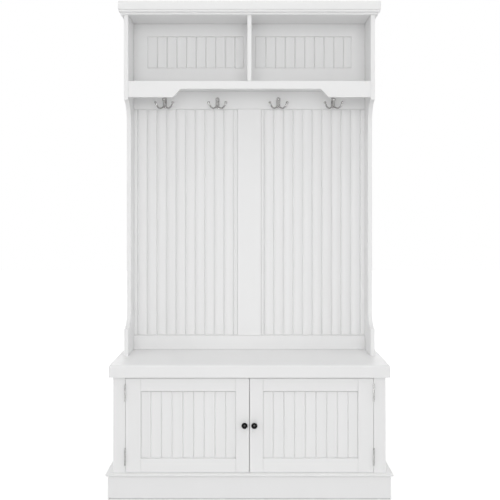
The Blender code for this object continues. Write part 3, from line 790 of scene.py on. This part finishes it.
def make_hooks():
    mesh = cast_hook_mesh()
    screw = screw_mesh(*HOOK_SCREW)
    for number in range(1, HOOK_COUNT + 1):
        node = f"hook_{number}"
        low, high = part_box(node)
        middle = Vector(((low.x + high.x) / 2, high.y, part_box("hook_1")[1].z - HOOK_PLATE_HALF[1]))
        hook = piece(f"{node}_cast", mesh, "hook_nickel", replaced=(node,), weighted=False)
        hook.matrix_world = Matrix.Translation(middle)
        for place, z in zip(("upper", "lower"), HOOK_SCREW_Z):
            head = piece(f"{node}_screw_{place}", screw, "hook_nickel", weighted=False)
            seat = Vector((0, HOOK_SCREW_SINK - HOOK_PLATE_THICK, z))
            head.matrix_world = Matrix.Translation(middle + seat)


# Doors


def widened(node, sign, inner=0.0, outer=0.0, below=0.0):
    """A board in a node's place, drawn out towards the middle of the object, away from it, or down."""
    low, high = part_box(node)
    near, far = (inner, outer) if sign > 0 else (outer, inner)
    return board_mesh(low - Vector((near, 0, below)), high + Vector((far, 0, 0)), DOOR_ARRIS, 4)


def make_door_frames():
    """The face stiles and the four members of each door."""
    for side, sign in SIDES:
        door = f"door_{side}"
        face = f"face_stile_{side}"
        mesh = widened(face, sign, inner=STILE_REVEAL)
        piece(f"{face}_eased", mesh, "carcass_paint", replaced=(face,))
        drawn_out = {
            "hinge_stile": {"outer": SIDE_REVEAL, "below": BOTTOM_REVEAL},
            "meeting_stile": {"inner": MEETING_REVEAL, "below": BOTTOM_REVEAL},
            "top_rail": {},
            "bottom_rail": {"below": BOTTOM_REVEAL},
        }
        for member, amounts in drawn_out.items():
            node = f"{door}_{member}"
            piece(f"{node}_eased", widened(node, sign, **amounts), "door_paint", door, (node,))


def knob_mesh():
    """A knob with a flat collar, a waisted neck and a domed face, turned about a line to the front."""
    rim = arc(*KNOB_RIM, -60, 30, 7)
    dome = arc(*KNOB_DOME, 15, 87, 8)
    return turned([*KNOB_FOOT, *KNOB_NECK, *rim, *dome], KNOB_SIDES, (0, -1, 0))


def make_knobs():
    mesh = knob_mesh()
    for side, _ in SIDES:
        node = f"knob_{side}"
        low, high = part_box(node)
        centre = (low + high) / 2
        knob = piece(f"{node}_turned", mesh, "knob_black", f"door_{side}", (node,), weighted=False)
        knob.matrix_world = Matrix.Translation((centre.x, high.y, centre.z))


def knuckles_into(bm, stretches):
    """Short bored tubes on the Z axis with softened rims."""
    rim = KNUCKLE_RADIUS - KNUCKLE_EASE
    turns = [2 * math.pi * k / KNUCKLE_SIDES for k in range(KNUCKLE_SIDES)]
    for low, high in stretches:
        wall = [(rim, low), (KNUCKLE_RADIUS, low + KNUCKLE_EASE), (KNUCKLE_RADIUS, high - KNUCKLE_EASE)]
        wall += [(rim, high), (KNUCKLE_BORE, high), (KNUCKLE_BORE, low)]
        rings = [[bm.verts.new((r * math.cos(t), r * math.sin(t), z)) for t in turns] for r, z in wall]
        for i, ring in enumerate(rings):
            for k in range(KNUCKLE_SIDES):
                bm.faces.new((ring[k], ring[k - 1], rings[i - 1][k - 1], rings[i - 1][k]))


def leaf_mesh(side_of_axis, stretches):
    """A leaf beside the pin's axis with its knuckles and its countersunk screws."""
    near, far = FIT_GAP / 2, FIT_GAP / 2 + LEAF_THICK
    x_low, x_high = ordered(side_of_axis, near, far)
    half = HINGE_LENGTH / 2
    blank = board_mesh((x_low, KNUCKLE_RADIUS, -half), (x_high, LEAF_DEPTH, half), LEAF_EASE, 2)
    middle_y = (KNUCKLE_RADIUS + LEAF_DEPTH) / 2
    hole_profile = [(LEAF_HOLE_RADIUS, -LEAF_THICK), (LEAF_HOLE_RADIUS, 2 * LEAF_THICK)]
    hole = turned(hole_profile, LEAF_HOLE_SIDES, (side_of_axis, 0, 0))
    head = screw_mesh(*LEAF_SCREW, (-side_of_axis, 0, 0))
    holes, heads = [], []
    for z in LEAF_SCREWS:
        hole_copy, head_copy = hole.copy(), head.copy()
        hole_copy.transform(Matrix.Translation((side_of_axis * near, middle_y, z)))
        head_copy.transform(Matrix.Translation((side_of_axis * far, middle_y, z)))
        holes.append(link("hole", hole_copy))
        heads.append(head_copy)
    bm = bmesh.new()
    knuckles_into(bm, stretches)
    wrists = []
    for low, high in stretches:
        corners = ((x_low, KNUCKLE_BORE, low), (x_high, 2 * KNUCKLE_RADIUS, high))
        wrists.append(board_mesh(*corners, LEAF_EASE / 2, 1))
    return joined([cut_out(link("leaf", blank), holes), finished(bm), *wrists, *heads])


def pin_mesh():
    """A hinge pin with a domed head at each end, just past the knuckles."""
    end = HINGE_LENGTH / 2 + FIT_GAP
    upper = [(PIN_RADIUS, end)] + [(radius, end + height) for radius, height in PIN_HEAD]
    return turned([(radius, -z) for radius, z in reversed(upper)] + upper, KNUCKLE_SIDES)


def make_hinges():
    half, third, split = HINGE_LENGTH / 2, HINGE_LENGTH / 6, FIT_GAP / 2
    frame_leaf = leaf_mesh(1, ((-half, -third - split), (third + split, half)))
    door_leaf = leaf_mesh(-1, ((-third + split, third - split),))
    kinds = (("frame_leaf", frame_leaf, False), ("door_leaf", door_leaf, True), ("pin", pin_mesh(), False))
    for side, sign in SIDES:
        for level in ("lower", "upper"):
            low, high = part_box(f"hinge_{side}_{level}_pin")
            turn = Matrix.Rotation(math.pi if sign < 0 else 0.0, 4, "Y")
            for kind, mesh, on_door in kinds:
                node = f"hinge_{side}_{level}_{kind}"
                body = f"door_{side}" if on_door else "carcass"
                shape = piece(f"{node}_turned", mesh, "hinge_steel", body, (node,), weighted=False)
                shape.matrix_world = Matrix.Translation((low + high) / 2) @ turn


def make_catch():
    """The catch's body with its two pole plates, the strike plates and the knobs' screws."""
    low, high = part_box("magnetic_catch")
    body = board_mesh(low + Vector((0, POLE_PROUD, 0)), high, CATCH_ROUND)
    piece("magnetic_catch_body", body, "catch_plastic", replaced=("magnetic_catch",))
    middle = (low + high) / 2
    poles = []
    for z in (middle.z - POLE_OFFSET, middle.z + POLE_OFFSET):
        near = (middle.x - POLE_HALF[0], low.y, z - POLE_HALF[1])
        far = (middle.x + POLE_HALF[0], high.y - POLE_INSET, z + POLE_HALF[1])
        poles.append(board_mesh(near, far, POLE_EASE, 1))
    piece("magnetic_catch_poles", joined(poles), "hinge_steel")
    screw = screw_mesh(*KNOB_SCREW, (0, 1, 0))
    for side, _ in SIDES:
        node = f"strike_plate_{side}"
        plate = board_mesh(*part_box(node), STRIKE_EASE, 2)
        piece(f"{node}_eased", plate, "hinge_steel", f"door_{side}", (node,))
        knob_low, knob_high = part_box(f"knob_{side}")
        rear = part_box(f"door_{side}_meeting_stile")[1].y
        head = piece(f"knob_screw_{side}", screw, "hinge_steel", f"door_{side}", weighted=False)
        centre = (knob_low + knob_high) / 2
        head.matrix_world = Matrix.Translation((centre.x, rear, centre.z))


def make_rear_screws():
    """Countersunk heads that hold the backs on, along their edges."""
    screw = screw_mesh(*REAR_SCREW, (0, 1, 0))
    heads = []
    for node, columns, rows in REAR_SCREWS:
        low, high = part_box(node)
        start, width = low.x + REAR_SCREW_INSET, high.x - low.x - 2 * REAR_SCREW_INSET
        for i in range(columns):
            x = start + width * i / (columns - 1)
            for part in rows:
                head = screw.copy()
                place = (x, high.y - REAR_SCREW_SINK, low.z + part * (high.z - low.z))
                head.transform(Matrix.Translation(place))
                heads.append(head)
    piece("rear_screws", joined(heads), "hinge_steel", weighted=False)


def make_object():
    make_sides()
    make_apron()
    make_beadboards()
    make_cubby_back()
    make_mouldings()
    make_plain_boards()
    make_bench_top()
    make_door_frames()
    make_hooks()
    make_knobs()
    make_hinges()
    make_catch()
    make_rear_screws()


def dress_nodes():
    """Every CAD node that still shows gets the procedural material of its slot."""
    slots = {row["node"]: row["material_slot"] for row in frame["record"]["subparts"]}
    for name, node in frame["nodes"].items():
        node.data.materials.clear()
        node.data.materials.append(MATERIALS[slots[name]])


def make_floor():
    bm = bmesh.new()
    bmesh.ops.create_grid(bm, x_segments=8, y_segments=8, size=FLOOR_HALF)
    floor = link("floor", finished(bm))
    floor.location.z = -FLOOR_DROP
    material, nodes, links, shader = new_material("pale_floor_painted_glow")
    color = tinted(nodes, links, noise(nodes, links, 1.2, 3.0), *FLOOR_TONES)
    links.new(color, shader.inputs["Base Color"])
    shader.inputs["Roughness"].default_value = 0.9
    shader.inputs["Specular IOR Level"].default_value = 0.1
    # Painted glow: the floor emits light, weaker beside the object and stronger far away, so it stays white
    # where the lamps' light falls off
    shader.inputs["Emission Color"].default_value = (1, 1, 1, 1)
    coordinates = nodes.new("ShaderNodeTexCoord")
    reach = nodes.new("ShaderNodeVectorMath")
    reach.operation = "LENGTH"
    links.new(coordinates.outputs["Object"], reach.inputs[0])
    glow = nodes.new("ShaderNodeMapRange")
    glow.inputs["From Min"].default_value = FLOOR_GLOW_REACH[0]
    glow.inputs["From Max"].default_value = FLOOR_GLOW_REACH[1]
    glow.inputs["To Min"].default_value = FLOOR_GLOW[0]
    glow.inputs["To Max"].default_value = FLOOR_GLOW[1]
    links.new(reach.outputs["Value"], glow.inputs["Value"])
    links.new(glow.outputs["Result"], shader.inputs["Emission Strength"])
    floor.data.materials.append(material)
    floor.visible_diffuse = False
    floor.visible_glossy = False


def make_world():
    """White to the camera, a soft light all round for painted pieces, dark above for polished ones."""
    world = bpy.data.worlds.new("studio")
    bpy.context.scene.world = world
    world.use_nodes = True
    nodes, links = world.node_tree.nodes, world.node_tree.links
    nodes.clear()
    backdrop = nodes.new("ShaderNodeBackground")
    backdrop.inputs["Color"].default_value = (1, 1, 1, 1)
    direction = nodes.new("ShaderNodeTexCoord")
    parts = nodes.new("ShaderNodeSeparateXYZ")
    links.new(direction.outputs["Generated"], parts.inputs["Vector"])
    rooms = {}
    for name, (below, above) in ROOM_LIGHT.items():
        room = nodes.new("ShaderNodeBackground")
        room.inputs["Color"].default_value = (1, 1, 1, 1)
        strength = nodes.new("ShaderNodeMapRange")
        strength.inputs["From Min"].default_value = -HORIZON
        strength.inputs["From Max"].default_value = HORIZON
        strength.inputs["To Min"].default_value = below
        strength.inputs["To Max"].default_value = above
        links.new(parts.outputs["Z"], strength.inputs["Value"])
        links.new(strength.outputs["Result"], room.inputs["Strength"])
        rooms[name] = room.outputs["Background"]
    path = nodes.new("ShaderNodeLightPath")
    shown = rooms["light"]
    seen_by = {"Is Glossy Ray": rooms["mirrored"], "Is Camera Ray": backdrop.outputs["Background"]}
    for ray, room in seen_by.items():
        mix = nodes.new("ShaderNodeMixShader")
        links.new(path.outputs[ray], mix.inputs["Fac"])
        links.new(shown, mix.inputs[1])
        links.new(room, mix.inputs[2])
        shown = mix.outputs["Shader"]
    output = nodes.new("ShaderNodeOutputWorld")
    links.new(shown, output.inputs["Surface"])


def softbox(name, place, size, power):
    data = bpy.data.lights.new(name, "AREA")
    data.shape = "RECTANGLE"
    data.size, data.size_y = size
    data.energy = power
    light = link(name, data)
    light.location = place
    light.rotation_euler = (Vector(SOFTBOX_TARGET) - Vector(place)).to_track_quat("-Z", "Y").to_euler()
    return light


def make_lights():
    for *settings, mirrored in SOFTBOXES:
        softbox(*settings).visible_glossy = mirrored
    card = softbox(*CARD)
    card.visible_diffuse = False
    card.visible_camera = False


def make_camera():
    data = bpy.data.cameras.new("camera")
    data.lens = CAMERA_LENS
    data.sensor_width = CAMERA_SENSOR
    data.shift_x, data.shift_y = CAMERA_SHIFT
    camera = link("camera", data)
    camera.location = (0.0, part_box("hook_rail")[0].y - CAMERA_DISTANCE, CAMERA_HEIGHT)
    camera.rotation_euler = (math.radians(90), 0, 0)
    bpy.context.scene.camera = camera
    bpy.context.scene.view_settings.view_transform = "Standard"


dress_nodes()
make_object()
make_floor()
make_world()
make_lights()
make_camera()
